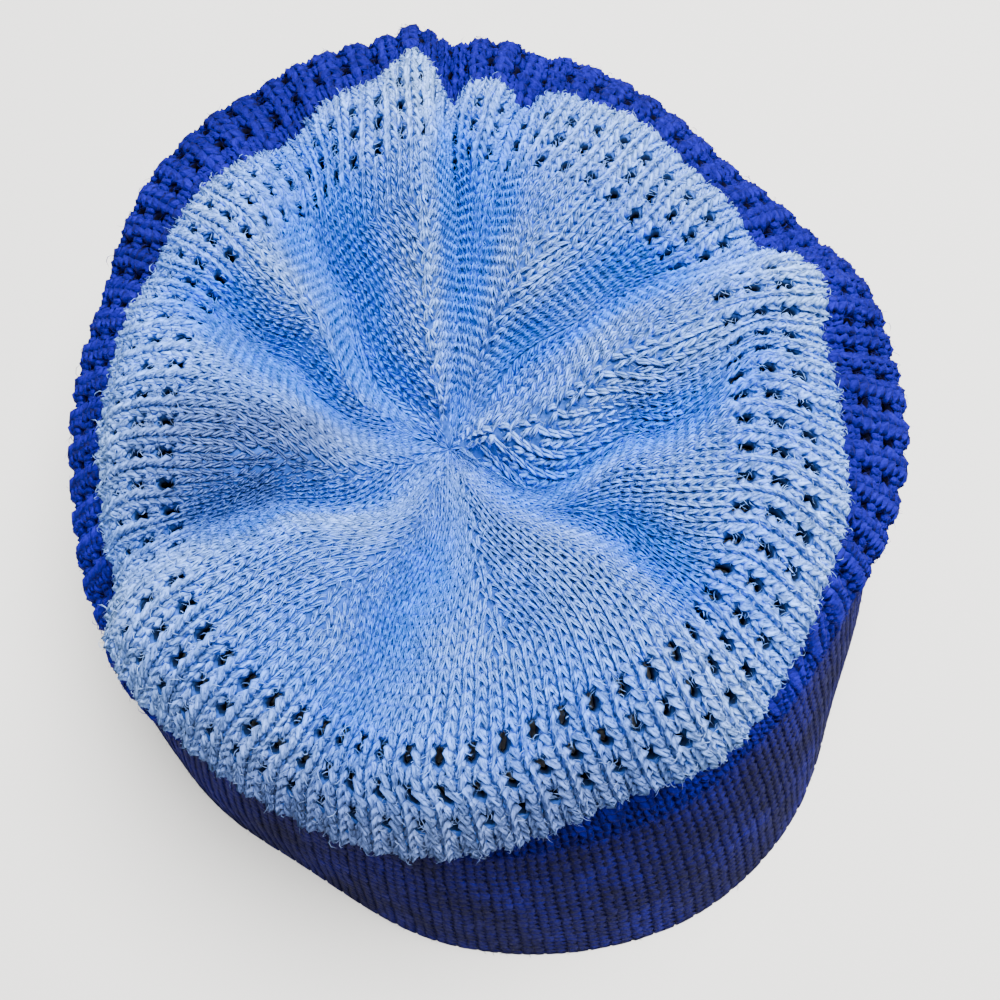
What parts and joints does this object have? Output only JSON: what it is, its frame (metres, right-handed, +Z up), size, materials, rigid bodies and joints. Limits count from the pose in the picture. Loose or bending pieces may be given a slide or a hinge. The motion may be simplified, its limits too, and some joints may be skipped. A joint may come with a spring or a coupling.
{
  "type": "knitted beanie",
  "caption": "Slouchy knitted beanie standing on its brim: gathered crown, bulging eyelet lace wall and a plain knit band, hollow and open below for a head.",
  "frame": {"origin": "bottom centre of the whole hat, on the surface that its brim stands on", "axes": "+Z up; -Y towards the side where the brim flares out in front of the crown; +X to the right seen from that side"},
  "size_m": [0.1682, 0.1842, 0.0789],
  "materials": {
    "light_blue_knit": "fuzzy matte knit",
    "royal_blue_lace_knit": "fuzzy matte knit",
    "royal_blue_plain_knit": "fuzzy matte knit"
  },
  "bodies": {
    "root": {"crown": "light_blue_knit", "lace_wall": "royal_blue_lace_knit", "brim_band": "royal_blue_plain_knit"}
  },
  "joints": []
}
